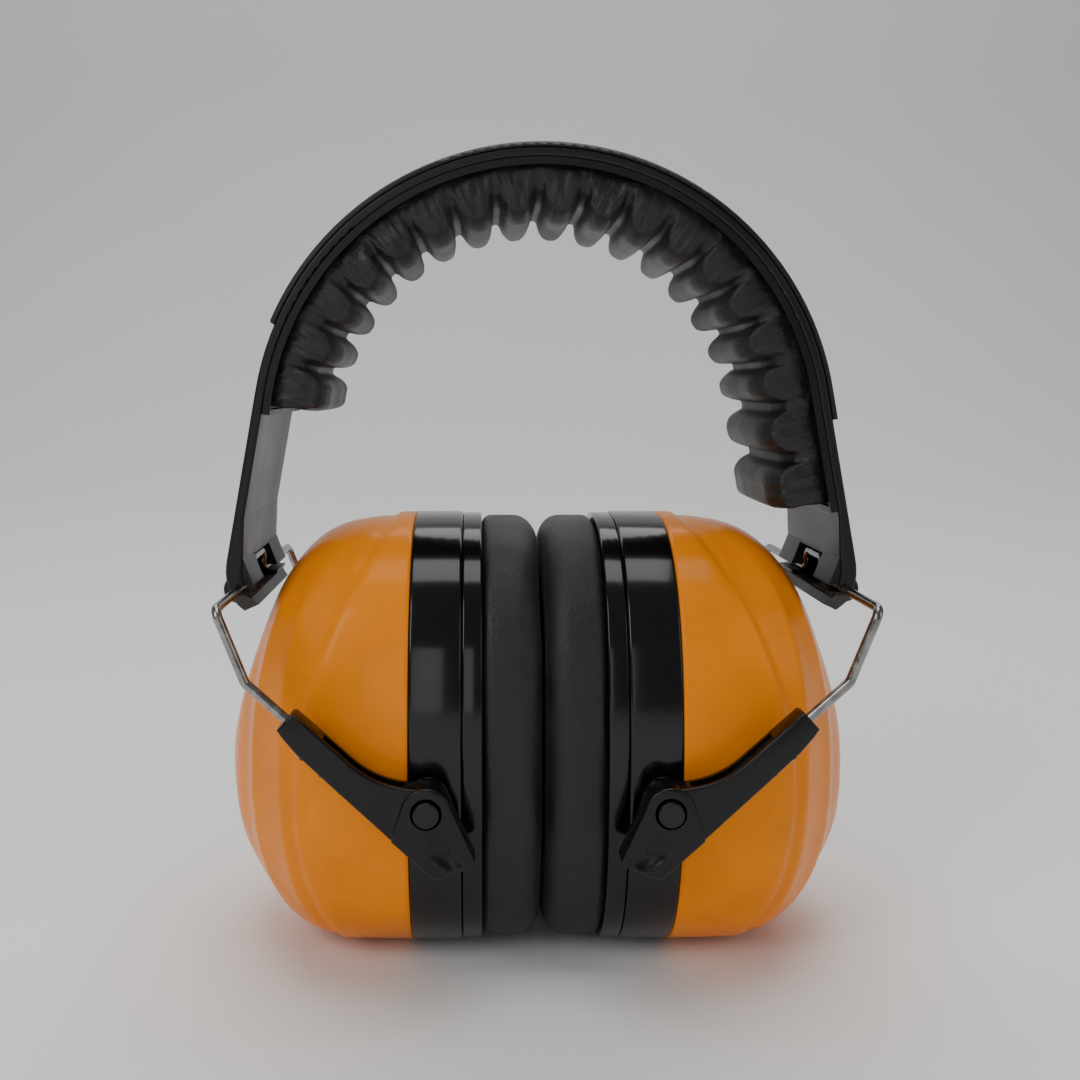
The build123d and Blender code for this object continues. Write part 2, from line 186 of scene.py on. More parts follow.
def rounded_loop(near, far, outer, inner, radius, steps=5):
    """A closed (x, inset) outline from x near to x far, its two outer corners rounded."""
    loop = []
    for x, direction in ((near, -1), (far, 1)):
        arc = []
        for i in range(steps + 1):
            turn = pi / 2 * i / steps
            arc.append((x - direction * radius * (1 - sin(turn)), outer + radius * (1 - cos(turn))))
        loop += arc[::-1] if direction < 0 else arc
    return loop + [(far, inner), (near, inner)]


def smooth(t):
    """Smooth step from 0 to 1."""
    t = min(max(t, 0.0), 1.0)
    return t * t * (3 - 2 * t)


# ---------------------------------------------------------------- materials


def new_material(name):
    """A material with an empty tree: its nodes, links, shader and object coordinates."""
    material = bpy.data.materials.new(name)
    material.use_nodes = True
    nodes, links = material.node_tree.nodes, material.node_tree.links
    shader = nodes["Principled BSDF"]
    place = nodes.new("ShaderNodeTexCoord")
    return material, nodes, links, shader, place.outputs["Object"]


def noise_node(nodes, links, place, scale, detail=3.0, rough=0.5, stretch=None):
    """A noise texture on object coordinates, stretched if asked."""
    texture = nodes.new("ShaderNodeTexNoise")
    texture.inputs["Scale"].default_value = scale
    texture.inputs["Detail"].default_value = detail
    texture.inputs["Roughness"].default_value = rough
    if stretch:
        mapping = nodes.new("ShaderNodeMapping")
        mapping.inputs["Scale"].default_value = stretch
        links.new(place, mapping.inputs["Vector"])
        links.new(mapping.outputs["Vector"], texture.inputs["Vector"])
    else:
        links.new(place, texture.inputs["Vector"])
    return texture


def ranged(nodes, links, source, low, high):
    """Map a 0 to 1 value to low to high."""
    node = nodes.new("ShaderNodeMapRange")
    node.inputs["From Min"].default_value = 0.3
    node.inputs["From Max"].default_value = 0.7
    node.inputs["To Min"].default_value = low
    node.inputs["To Max"].default_value = high
    links.new(source, node.inputs["Value"])
    return node.outputs["Result"]


def tinted(nodes, links, source, dark, light):
    """Blend two colours by a value."""
    ramp = nodes.new("ShaderNodeValToRGB")
    ramp.color_ramp.elements[0].color = (*dark, 1)
    ramp.color_ramp.elements[1].color = (*light, 1)
    ramp.color_ramp.elements[0].position = 0.35
    ramp.color_ramp.elements[1].position = 0.65
    links.new(source, ramp.inputs["Fac"])
    return ramp.outputs["Color"]


def bumped(nodes, links, shader, source, strength, distance):
    """Bump a shader by a height."""
    bump = nodes.new("ShaderNodeBump")
    bump.inputs["Strength"].default_value = strength
    bump.inputs["Distance"].default_value = distance
    links.new(source, bump.inputs["Height"])
    links.new(bump.outputs["Normal"], shader.inputs["Normal"])
    return bump


def moulded_plastic(name, colour, roughness, grain=0.05, coat=0.0, shine=0.4):
    """Moulded plastic: uneven polish, faint flow marks and a fine grain."""
    material, nodes, links, shader, place = new_material(name)
    marks = noise_node(nodes, links, place, 45, 4)
    fine = noise_node(nodes, links, place, 2600, 2)
    dark = tuple(c * 0.9 for c in colour)
    light = tuple(min(c * 1.08, 1) for c in colour)
    links.new(tinted(nodes, links, marks.outputs["Fac"], dark, light), shader.inputs["Base Color"])
    links.new(ranged(nodes, links, marks.outputs["Fac"], roughness * 0.85, roughness * 1.2),
              shader.inputs["Roughness"])
    bumped(nodes, links, shader, fine.outputs["Fac"], grain, 0.0001)
    shader.inputs["IOR"].default_value = 1.45
    shader.inputs["Specular IOR Level"].default_value = shine
    shader.inputs["Coat Weight"].default_value = coat
    shader.inputs["Coat Roughness"].default_value = 0.06
    return material


def leatherette(name, colour, roughness, crease, grain_scale=900):
    """Coated leather cloth: cells of fine grain, soft creases and a low sheen."""
    material, nodes, links, shader, place = new_material(name)
    cells = nodes.new("ShaderNodeTexVoronoi")
    cells.feature = "DISTANCE_TO_EDGE"
    cells.inputs["Scale"].default_value = grain_scale
    links.new(place, cells.inputs["Vector"])
    folds = noise_node(nodes, links, place, 240, 5, 0.6)
    cloud = noise_node(nodes, links, place, 60, 3)
    height = nodes.new("ShaderNodeMath")
    height.operation = "MULTIPLY_ADD"
    height.inputs[1].default_value = crease
    links.new(folds.outputs["Fac"], height.inputs[0])
    links.new(cells.outputs["Distance"], height.inputs[2])
    bumped(nodes, links, shader, height.outputs["Value"], 0.35, 0.0004)
    dark = tuple(c * 0.7 for c in colour)
    light = tuple(c * 1.5 for c in colour)
    links.new(tinted(nodes, links, cloud.outputs["Fac"], dark, light), shader.inputs["Base Color"])
    links.new(ranged(nodes, links, cloud.outputs["Fac"], roughness * 0.8, roughness * 1.25),
              shader.inputs["Roughness"])
    shader.inputs["Sheen Weight"].default_value = 0.05
    shader.inputs["Sheen Roughness"].default_value = 0.4
    return material


def drawn_steel():
    """Bright drawn wire with fine marks."""
    material, nodes, links, shader, place = new_material("drawn_steel")
    marks = noise_node(nodes, links, place, 500, 3)
    links.new(tinted(nodes, links, marks.outputs["Fac"], (0.2, 0.19, 0.18), (0.34, 0.33, 0.31)),
              shader.inputs["Base Color"])
    links.new(ranged(nodes, links, marks.outputs["Fac"], 0.14, 0.3), shader.inputs["Roughness"])
    shader.inputs["Metallic"].default_value = 1.0
    bumped(nodes, links, shader, marks.outputs["Fac"], 0.08, 0.0001)
    return material


def open_foam():
    """Open-cell foam: pitted pores, with painted shade darkening each pit."""
    material, nodes, links, shader, place = new_material("open_foam")
    pore_pits_and_shade = nodes.new("ShaderNodeTexVoronoi")
    pore_pits_and_shade.inputs["Scale"].default_value = 1400
    links.new(place, pore_pits_and_shade.inputs["Vector"])
    # painted shade: the base colour is dark at the bottom of each pore pit and light on its rims, following the
    # bump's pits
    links.new(tinted(nodes, links, pore_pits_and_shade.outputs["Distance"], (0.02, 0.02, 0.022), (0.1, 0.1, 0.11)),
              shader.inputs["Base Color"])
    shader.inputs["Roughness"].default_value = 0.95
    bumped(nodes, links, shader, pore_pits_and_shade.outputs["Distance"], 0.8, 0.0005)
    return material


def finish_node(node, material, slot=None):
    """Give a carried-over CAD node its material."""
    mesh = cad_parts[node].data
    mesh.materials.clear()
    mesh.materials.append(material)


# ---------------------------------------------------------------- operators


class EARMUFF_OT_band(bpy.types.Operator):
    """Finish the spring band and its cover"""

    bl_idname = "earmuff.band"
    bl_label = "Headband"

    def execute(self, context):
        satin = moulded_plastic("band_plastic", (0.006, 0.007, 0.008), 0.36, 0.12)
        cover = moulded_plastic("cover_plastic", (0.007, 0.008, 0.009), 0.4, 0.15)
        tray = moulded_plastic("tray_plastic", (0.004, 0.004, 0.0045), 0.4, 0.1)
        finish_node("spring_band", satin)
        finish_node("band_cover", cover)
        finish_node("pad_tray", tray)
        return {"FINISHED"}


class EARMUFF_OT_shells(bpy.types.Operator):
    """Model the two fluted shells with their proud side panels"""

    bl_idname = "earmuff.shells"
    bl_label = "Cup shells"

    SECTIONS = (
        (0.00, 0.000, 1.000), (0.24, 0.000, 0.995), (0.45, 0.002, 0.972), (0.60, 0.030, 0.925),
        (0.74, 0.085, 0.840), (0.86, 0.155, 0.715), (0.95, 0.235, 0.585), (1.00, 0.330, 0.490),
    )
    WALL = 2.6
    ROWS = 72

    def section(self, share):
        """Lowest and highest point, as shares of the cup's height, at a share of the reach."""
        rows = self.SECTIONS
        for i in range(len(rows) - 1):
            if share <= rows[i + 1][0]:
                break
        one, two = rows[i], rows[i + 1]
        before = rows[max(i - 1, 0)]
        after = rows[min(i + 2, len(rows) - 1)]
        width = two[0] - one[0]
        t = (share - one[0]) / width
        result = []
        for k in (1, 2):
            m0 = (two[k] - before[k]) / (two[0] - before[0]) * width
            m1 = (after[k] - one[k]) / (after[0] - one[0]) * width
            result.append((2 * t**3 - 3 * t**2 + 1) * one[k] + (t**3 - 2 * t**2 + t) * m0
                          + (3 * t**2 - 2 * t**3) * two[k] + (t**3 - t**2) * m1)
        return result

    def ring(self, share, inset, flute, step):
        """One ring of the shell's skin."""
        near, far = shell_low.x, shell_high.x - inset
        low, high = self.section(share)
        x = near + share * (far - near)
        depth = max(CUP_DEPTH * (high - low) - 2 * inset, 0.5)
        top = high * CUP_HEIGHT - inset
        bottom = low * CUP_HEIGHT - FOOT_TRIM * (1 - share) + inset
        points = []
        middle = (top + bottom) / 2
        for y, z in oval(top, bottom, depth):
            height = z / CUP_HEIGHT
            crease = 0.56 - 1.42 * (height - 0.42) ** 2
            beyond = smooth((share - crease) / 0.035)
            fade = 1 - smooth((share - 0.84) / 0.16)
            bearing = atan2(y, x - near - 4)
            ribs = abs(sin(bearing * 10)) ** 0.8
            ribs *= smooth((1 - abs(z - middle) / (top - middle)) / 0.3)
            cut = beyond * (step * fade + flute * ribs * fade)
            reach = hypot(y, z - middle) or 1
            tilt = smooth(share)
            y -= cut * y / reach * (1 - 0.5 * tilt)
            z -= cut * (z - middle) / reach * (1 - 0.5 * tilt)
            points.append((x - cut * 0.5 * tilt, y, max(z, 0.0)))
        return points

    def execute(self, context):
        settings = context.scene.earmuff_shell
        plastic = moulded_plastic("shell_plastic", tuple(settings.colour), 0.26, 0.02, 0.08, 0.12)
        flute, step = settings.flute_depth / MM, settings.panel_step / MM
        shares = [1 - (1 - i / self.ROWS) ** 1.6 for i in range(self.ROWS + 1)]
        outer = [self.ring(s, 0, flute, step) for s in shares]
        inner = [self.ring(s, self.WALL, 0, 0) for s in shares[::3]]
        for side, sign in SIDES:
            mesh = mesh_from_rings(f"cup_shell_{side}_skin", inner[::-1] + outer, False, sign)
            add_piece(f"shell_{side}", mesh, plastic, f"cup_{side}", (f"cup_shell_{side}",))
        return {"FINISHED"}


class EARMUFF_OT_rings(bpy.types.Operator):
    """Model the glossy rings, with their bosses, and the cushion plates"""

    bl_idname = "earmuff.rings"
    bl_label = "Rings and plates"

    def execute(self, context):
        gloss = moulded_plastic("ring_plastic", (0.003, 0.003, 0.004), 0.15, 0.02, 0.2)
        for side, sign in SIDES:
            loop = rounded_loop(ring_low.x, ring_high.x, 0, 3.4, 0.7)
            rings = [[(x, *p) for p in cup_oval(inset)] for x, inset in loop]
            mesh = mesh_from_rings(f"ring_{side}_skin", rings, True, sign)
            bm = bmesh.new()
            bm.from_mesh(mesh)
            for _, end in ENDS:
                self.boss(bm, sign, end)
            bm.to_mesh(mesh)
            bm.free()
            mesh.shade_smooth()
            mesh.set_sharp_from_angle(angle=radians(40))
            add_piece(f"ring_{side}", mesh, gloss, f"cup_{side}", (f"mid_ring_{side}",))
            loop = rounded_loop(plate_low.x, plate_high.x, 0.3, 10, 0.5)
            rings = [[(x, *p) for p in cup_oval(inset)] for x, inset in loop[:-2]]
            wide = oval(78.8, 16.4, 42.4)
            rings += [[(x, *p) for p in wide] for x in (plate_high.x, plate_low.x)]
            mesh = mesh_from_rings(f"plate_{side}_skin", rings, True, sign)
            mesh.set_sharp_from_angle(angle=radians(40))
            add_piece(f"plate_{side}", mesh, gloss, f"cup_{side}", (f"cushion_plate_{side}",))
        return {"FINISHED"}

    def boss(self, bm, sign, end):
        """A round boss with a flared root, through the ring's wall."""
        outline = ((33.0, 4.0), (36.5, 5.2), (37.9, 4.5), (38.7, 4.0), (40.4, 4.0), (40.7, 3.7))
        rows = []
        for y, radius in outline:
            rows.append([bm.verts.new((sign * (PIVOT.x + radius * cos(2 * pi * i / 40)) * MM, end * y * MM,
                                       (PIVOT.z + radius * sin(2 * pi * i / 40)) * MM)) for i in range(40)])
        made = []
        for one, two in zip(rows, rows[1:]):
            for i in range(40):
                j = (i + 1) % 40
                made.append(bm.faces.new((one[i], one[j], two[j], two[i])))
        made += [bm.faces.new(rows[0]), bm.faces.new(rows[-1][::-1])]
        bmesh.ops.recalc_face_normals(bm, faces=made)


class EARMUFF_OT_cushions(bpy.types.Operator):
    """Model the soft ear cushions"""

    bl_idname = "earmuff.cushions"
    bl_label = "Ear cushions"

    def execute(self, context):
        settings = context.scene.earmuff_cushion
        skin = leatherette("cushion_skin", tuple(settings.colour), 0.5, 0.6, 1500)
        crown = settings.crown / MM
        near, far = cushion_low.x, cushion_high.x
        for side, sign in SIDES:
            rings = []
            profile = self.profile(near, far, crown)
            opening = oval(77.6, 17.6, 40)
            outside = cup_oval(0.9)
            for x, share, sink in profile:
                ring = []
                for k, (a, b) in enumerate(zip(outside, opening)):
                    turn = 2 * pi * k / OVAL_STEPS
                    y = a[0] + (b[0] - a[0]) * share
                    z = a[1] + (b[1] - a[1]) * share
                    lump = noise.noise(Vector((x * 0.09, y * 0.07 + 9 * sign, z * 0.07))) * 0.35
                    puff = 1 - abs(2 * share - 1) ** 4
                    depth = x + (lump * puff if x < far - 1 else 0)
                    ring.append((max(depth, near), y, max(z, 0.1)))
                rings.append(ring)
            mesh = mesh_from_rings(f"cushion_{side}_skin", rings, True, sign)
            piece = add_piece(f"cushion_{side}", mesh, skin, f"cup_{side}", (f"ear_cushion_{side}",))
            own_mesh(piece)
        return {"FINISHED"}

    def profile(self, near, far, crown):
        """The cushion's closed outline: x, share from the outer edge to the opening, sink."""
        width, steps = 18.0, 10
        points = []
        for centre_share, start in ((crown / width, 0), (1 - crown / width, 1)):
            for i in range(steps + 1):
                turn = pi / 2 * i / steps
                if start == 0:
                    points.append((near + crown * (1 - sin(turn)), centre_share - crown / width * cos(turn), 0))
                else:
                    points.append((near + crown * (1 - cos(turn)), centre_share + crown / width * sin(turn), 0))
        back = 2.2
        for i in range(6):
            turn = pi / 2 * i / 5
            points.append((far - back * (1 - sin(turn)), 1 - back / width * (1 - cos(turn)), 0))
        for i in range(6):
            turn = pi / 2 * i / 5
            points.append((far - back * (1 - cos(turn)), back / width * (1 - sin(turn)), 0))
        return points


def ridge_run():
    """A node tree that repeats one ridge along the arch and welds the row into one skin."""
    tree = bpy.data.node_groups.new("ridge_run", "GeometryNodeTree")
    face = tree.interface
    face.new_socket("Geometry", in_out="INPUT", socket_type="NodeSocketGeometry")
    for name, kind in (("Ridges", "Int"), ("First angle", "Float"), ("Pitch", "Float"),
                       ("Arch height", "Float"), ("Skin", "Material")):
        face.new_socket(name, in_out="INPUT", socket_type=f"NodeSocket{kind}")
    face.new_socket("Geometry", in_out="OUTPUT", socket_type="NodeSocketGeometry")
    nodes, links = tree.nodes, tree.links
    given = nodes.new("NodeGroupInput")
    result = nodes.new("NodeGroupOutput")
    row = nodes.new("GeometryNodeMeshLine")
    row.inputs["Offset"].default_value = (0, 0, 0)
    index = nodes.new("GeometryNodeInputIndex")
    angle = nodes.new("ShaderNodeMath")
    angle.operation = "MULTIPLY_ADD"
    turned = nodes.new("ShaderNodeMath")
    turned.operation = "MULTIPLY"
    turned.inputs[1].default_value = -1.0
    spin = nodes.new("ShaderNodeCombineXYZ")
    placed = nodes.new("GeometryNodeInstanceOnPoints")
    real = nodes.new("GeometryNodeRealizeInstances")
    raised = nodes.new("GeometryNodeTransform")
    lift = nodes.new("ShaderNodeCombineXYZ")
    weld = nodes.new("GeometryNodeMergeByDistance")
    weld.inputs["Distance"].default_value = 0.00002
    skin = nodes.new("GeometryNodeSetMaterial")
    links.new(given.outputs["Ridges"], row.inputs["Count"])
    links.new(index.outputs["Index"], angle.inputs[0])
    links.new(given.outputs["Pitch"], angle.inputs[1])
    links.new(given.outputs["First angle"], angle.inputs[2])
    links.new(angle.outputs["Value"], turned.inputs[0])
    links.new(turned.outputs["Value"], spin.inputs["Y"])
    links.new(row.outputs["Mesh"], placed.inputs["Points"])
    links.new(given.outputs["Geometry"], placed.inputs["Instance"])
    links.new(spin.outputs["Vector"], placed.inputs["Rotation"])
    links.new(placed.outputs["Instances"], real.inputs["Geometry"])
    links.new(given.outputs["Arch height"], lift.inputs["Z"])
    links.new(real.outputs["Geometry"], raised.inputs["Geometry"])
    links.new(lift.outputs["Vector"], raised.inputs["Translation"])
    links.new(raised.outputs["Geometry"], weld.inputs["Geometry"])
    links.new(weld.outputs["Geometry"], skin.inputs["Geometry"])
    links.new(given.outputs["Skin"], skin.inputs["Material"])
    links.new(skin.outputs["Geometry"], result.inputs["Geometry"])
    return tree


def grown(name, mesh, tree, values):
    """The plain mesh that a node tree makes of a mesh, with its named inputs set."""
    carrier = bpy.data.objects.new(name + "_carrier", mesh)
    bpy.context.collection.objects.link(carrier)
    modifier = carrier.modifiers.new("grow", "NODES")
    modifier.node_group = tree
    sockets = {item.name: item.identifier for item in tree.interface.items_tree if item.in_out == "INPUT"}
    for key, value in values.items():
        modifier[sockets[key]] = value
    depsgraph = bpy.context.evaluated_depsgraph_get()
    result = bpy.data.meshes.new_from_object(carrier.evaluated_get(depsgraph))
    result.name = name
    carrier.modifiers.remove(modifier)
    bpy.data.objects.remove(carrier)
    return result


class EARMUFF_OT_pad(bpy.types.Operator):
    """Model the ridged headband pad"""

    bl_idname = "earmuff.pad"
    bl_label = "Headband pad"

    OUTER = 59.95
    VALLEY = 51.1
    TIP = 46.95
    HALF = 20.7
    MIDDLE = 80.3
    SWEEP = 185.8
    LEG_SPREAD = 10.0
    ACROSS = 18
    SIDE = 16

    def ring(self, q, block, tuck=0.0):
        """The pad's outline at q, from -0.5 to 0.5 across one ridge or end block: (radius, y)."""
        near = abs(2 * q) if (not block or q < 0) else 0.0
        depth = max(1 - (near / 0.8) ** 2.5, 0) ** 0.62
        valley = exp(-(((1 - near) / 0.3) ** 2))
        inner = []
        for k in range(self.ACROSS + 1):
            across = -1 + 2 * k / self.ACROSS
            edge = abs(across)
            radius = self.VALLEY - (self.VALLEY - self.TIP) * depth
            radius += 1.7 * smooth((edge - 0.7) / 0.3) ** 2 + 0.4 * edge**2
            radius += 0.5 * valley * smooth((edge - 0.4) / 0.6)
            inner.append((radius + 2.8 * tuck, across * (self.HALF - 1.1 - 0.8 * valley - 1.2 * tuck)))
        rear = []
        start = inner[-1][0]
        for k in range(1, self.SIDE + 1):
            t = k / self.SIDE
            radius = start + (self.OUTER - start) * t
            swell = sin(pi * min(0.12 + t * 0.95, 1)) ** 0.5
            scoop = valley * 1.3 * exp(-((t / 0.5) ** 2))
            y = self.HALF - 1.1 + 1.1 * swell - scoop - 0.35 * t - 1.2 * tuck
            rear.append((radius, y))
        return inner + rear + [(r, -y) for r, y in reversed(rear)]

    def strip(self, name, outlines, capped):
        """An open skin of outlines [(turn in radians, [(radius, y)])], capped at its last one."""
        bm = bmesh.new()
        rows = [[bm.verts.new((r * cos(turn) * MM, y * MM, r * sin(turn) * MM)) for r, y in outline]
                for turn, outline in outlines]
        count = len(rows[0])
        for one, two in zip(rows, rows[1:]):
            for i in range(count):
                j = (i + 1) % count
                bm.faces.new((one[i], one[j], two[j], two[i]))
        if capped:
            last = rows[-1]
            middle = bm.verts.new(sum((v.co for v in last), Vector()) / count)
            for i in range(count):
                bm.faces.new((last[i], last[(i + 1) % count], middle))
        mesh = bpy.data.meshes.new(name)
        bm.to_mesh(mesh)
        bm.free()
        return mesh

    def down_leg(self, place):
        """Past the arch's right end, the pad runs on straight down the leg."""
        x, z = place.x / MM, place.z / MM - ARCH_Z
        turn, spread = atan2(z, x), radians(self.LEG_SPREAD)
        if turn < -pi / 2:
            turn += 2 * pi
        if turn >= spread:
            return place
        radius, run = hypot(x, z), (spread - turn) * BAND_RADIUS
        x = radius * cos(spread) + run * sin(spread)
        z = radius * sin(spread) - run * cos(spread)
        return Vector((x * MM, place.y, (z + ARCH_Z) * MM))

    def execute(self, context):
        settings = context.scene.earmuff_pad
        skin = leatherette("pad_skin", tuple(settings.colour), 0.5, 1.6, 1100)
        ridges, wrinkle = settings.ridges, settings.wrinkle / MM
        pitch = radians(self.SWEEP) / (ridges + 2)
        steps = 28
        first = radians(self.MIDDLE - self.SWEEP / 2)
        lobe = self.strip("ridge", [(q * pitch, self.ring(q, False))
                                    for q in (i / steps - 0.5 for i in range(steps + 1))], False)
        mesh = grown("pad_skin", lobe, ridge_run(), {
            "Ridges": ridges, "First angle": first + 1.5 * pitch, "Pitch": pitch,
            "Arch height": ARCH_Z * MM, "Skin": skin})
        bm = bmesh.new()
        bm.from_mesh(mesh)
        for way, start in ((-1, first + pitch), (1, first + pitch * (ridges + 1))):
            outlines = []
            for i in range(steps + 1):
                q = i / steps - 0.5
                tuck = 1 - (1 - max(0, (q - 0.26) / 0.24) ** 2) ** 0.5
                outlines.append((start + way * (q + 0.5) * pitch, self.ring(q, True, tuck)))
            block = self.strip("end_block", outlines, True)
            block.transform(Matrix.Translation((0, 0, ARCH_Z * MM)))
            bm.from_mesh(block)
        bmesh.ops.remove_doubles(bm, verts=bm.verts, dist=2e-5)
        bmesh.ops.recalc_face_normals(bm, faces=bm.faces)
        bm.normal_update()
        for vert in bm.verts:
            x, y, z = vert.co.x / MM, vert.co.y / MM, vert.co.z / MM
            radius, turn = hypot(x, z - ARCH_Z), atan2(z - ARCH_Z, x)
            side = smooth((abs(y) - self.HALF + 3.0) / 2.0)
            held = 1 - smooth((radius - self.OUTER + 1.6) / 1.2)
            fold = noise.noise(Vector((turn * 38, radius * 0.16, 5.0 * copysign(1, y))))
            fold += 0.5 * noise.noise(Vector((turn * 90, radius * 0.25, 9.0)))
            fold += 0.6 * noise.noise(Vector((turn * 12, radius * 0.4, y * 0.2)))
            depth = wrinkle * (0.25 + 1.1 * side) * held
            vert.co += vert.normal * (fold - 0.35) * depth * MM
            limit = (self.HALF + 0.1) * MM
            vert.co.y = max(-limit, min(limit, vert.co.y))
            vert.co = self.down_leg(vert.co)
        bm.to_mesh(mesh)
        bm.free()
        mesh.shade_smooth()
        piece = add_piece("headband_cushion", mesh, skin, "headband", ("headband_pad",))
        return {"FINISHED"}


class EARMUFF_OT_yokes(bpy.types.Operator):
    """Finish the steel yokes, the pins and the foam linings"""

    bl_idname = "earmuff.yokes"
    bl_label = "Yokes, pins and foam"

    def execute(self, context):
        steel = drawn_steel()
        pin = moulded_plastic("pin_plastic", (0.004, 0.004, 0.004), 0.18, 0.02, 0.1)
        foam = open_foam()
        for side, _ in SIDES:
            finish_node(f"yoke_wire_{side}", steel)
            finish_node(f"cup_foam_{side}", foam)
            for end, _ in ENDS:
                finish_node(f"pivot_pin_{end}_{side}", pin)
        return {"FINISHED"}


class EARMUFF_OT_arms(bpy.types.Operator):
    """Model the four slider arms: bar, flared web, grip bumps, wire groove and thumb paddle"""

    bl_idname = "earmuff.arms"
    bl_label = "Slider arms"

    LENGTH = 33.0
    OFFSET = 5.0
    SLOPE = 42.0
    HEAD = 5.1

    def outline(self):
        """The arm's outline along and across its bar, anticlockwise."""
        length, head = self.LENGTH, self.HEAD
        points = [(0.1, -2.3), (2.0, -2.75), (6.0, -3.3), (16.0, -3.5), (26.0, -3.6), (32.0, -3.7),
                  (length + 5.0, -3.6), (length + 9.0, 2.0), (length + 6.0, 5.0)]
        for i in range(15):
            turn = radians(8 + 112 * i / 14)
            points.append((length + (head - 0.3) * cos(turn), self.OFFSET + (head - 0.3) * sin(turn)))
        last_u, last_v = points[-1]
        for i in range(1, 13):
            t = i / 12
            points.append((last_u + (15.0 - last_u) * t, 2.35 + (last_v - 2.35) * (1 - t) ** 2.2))
        return points + [(6.0, 2.35), (0.6, 2.3), (0.1, 1.8)]

    def paddle(self):
        """The thumb paddle's outline: a round head about the pin drawn out to a blunt tip."""
        length, head = self.LENGTH, self.HEAD
        points = [(length - 1.4, -3.75), (length + 9.6, -3.75), (length + 10.6, -3.3),
                  (length + 13.9, 3.2), (length + 13.7, 4.3), (length + 12.9, 4.8)]
        for i in range(19):
            turn = radians(52 + 128 * i / 18)
            points.append((length + head * cos(turn), self.OFFSET + head * sin(turn)))
        return points + [(length - 5.0, 3.6), (length - 1.8, -3.2)]

    def solid(self, outline, low, high, bevel):
        """A closed mesh between two depths with rounded rims."""
        bm = bmesh.new()
        face = bm.faces.new([bm.verts.new((u, v, low)) for u, v in outline])
        top = bmesh.ops.extrude_face_region(bm, geom=[face])["geom"]
        for vert in (g for g in top if isinstance(g, bmesh.types.BMVert)):
            vert.co.z = high
        bmesh.ops.recalc_face_normals(bm, faces=bm.faces)
        if bevel:
            rims = [e for e in bm.edges if abs(e.verts[0].co.z - e.verts[1].co.z) < 1e-6]
            bmesh.ops.bevel(bm, geom=rims, offset=bevel, segments=3, profile=0.5, affect="EDGES",
                            clamp_overlap=True)
        mesh = bpy.data.meshes.new("arm_part")
        bm.to_mesh(mesh)
        bm.free()
        return mesh

    def cylinder(self, u, v, radius, low, high, steps=40):
        outline = [(u + radius * cos(2 * pi * i / steps), v + radius * sin(2 * pi * i / steps))
                   for i in range(steps)]
        return self.solid(outline, low, high, 0)

    def ball(self, u, v, depth, radius, stretch):
        """A stretched ball for the thumb scoop, its long way down the paddle."""
        bm = bmesh.new()
        bmesh.ops.create_uvsphere(bm, u_segments=40, v_segments=24, radius=radius)
        turn = Matrix.Translation((u, v, depth)) @ Matrix.Rotation(radians(8), 4, "Z")
        bmesh.ops.transform(bm, matrix=turn @ Matrix.Diagonal((stretch, 1, 1, 1)), verts=bm.verts)
        mesh = bpy.data.meshes.new("scoop")
        bm.to_mesh(mesh)
        bm.free()
        return mesh

    def tunnel(self, start, stop, radius, depth):
        """A round cutter along the bar."""
        bm = bmesh.new()
        bmesh.ops.create_cone(bm, cap_ends=True, segments=32, radius1=radius, radius2=radius,
                              depth=stop - start)
        place = Matrix.Translation(((start + stop) / 2, 0, depth)) @ Matrix.Rotation(pi / 2, 4, "Y")
        bmesh.ops.transform(bm, matrix=place, verts=bm.verts)
        mesh = bpy.data.meshes.new("tunnel")
        bm.to_mesh(mesh)
        bm.free()
        return mesh

    def cut(self, mesh, cutters):
        """The mesh with each cutter taken away."""
        body = bpy.data.objects.new("arm_blank", mesh)
        bpy.context.collection.objects.link(body)
        spare = [body]
        for cutter in cutters:
            other = bpy.data.objects.new("cutter", cutter)
            bpy.context.collection.objects.link(other)
            modifier = body.modifiers.new("cut", "BOOLEAN")
            modifier.operation, modifier.solver, modifier.object = "DIFFERENCE", "EXACT", other
            spare.append(other)
        depsgraph = bpy.context.evaluated_depsgraph_get()
        result = bpy.data.meshes.new_from_object(body.evaluated_get(depsgraph))
        for item in spare:
            bpy.data.objects.remove(item)
        if len(result.vertices) < 100:
            raise RuntimeError("the slider arm lost its body to a cutter")
        return result

    def execute(self, context):
        plastic = moulded_plastic("arm_plastic", (0.004, 0.004, 0.004), 0.27, 0.06)
        low, high = (Vector(c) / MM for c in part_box("slider_arm_rear_right"))
        thick = high.y - low.y
        body = self.solid(self.outline(), 0, thick - 0.5, 0.5)
        mid = thick / 2
        groove = self.solid([(8, 0), (26.5, 0), (26.5, 9), (8, 9)], mid - 1.45, mid + 1.45, 0)
        scoop = self.ball(self.LENGTH + 8.4, 1.7, thick + 3.7, 4.5, 1.6)
        seat = self.cylinder(self.LENGTH, self.OFFSET, 3.15, thick - 0.5, thick + 2)
        bore = self.cylinder(self.LENGTH, self.OFFSET, 1.95, -1, thick + 1)
        bar = self.cut(body, [groove, self.tunnel(-1, 9, 1.08, mid), self.tunnel(7.9, 26.5, 1.45, mid),
                              self.cylinder(self.LENGTH, self.OFFSET, 2.6, -1, thick + 1)])
        paddle = self.cut(self.solid(self.paddle(), 0.05, thick, 0.5), [seat, bore, scoop])
        bm = bmesh.new()
        bm.from_mesh(bar)
        bm.from_mesh(paddle)
        for i in range(5):
            bump = Matrix.Translation((7.5 + 5.1 * i, -3.5, mid)) @ Matrix.Diagonal((1.0, 0.62, 2.4, 1))
            bmesh.ops.create_uvsphere(bm, u_segments=16, v_segments=12, radius=0.75, matrix=bump)
        slope = radians(self.SLOPE)
        along = Vector((-cos(slope), 0, -sin(slope)))
        across = Vector((-sin(slope), 0, cos(slope)))
        root = PIVOT - along * self.LENGTH - across * self.OFFSET
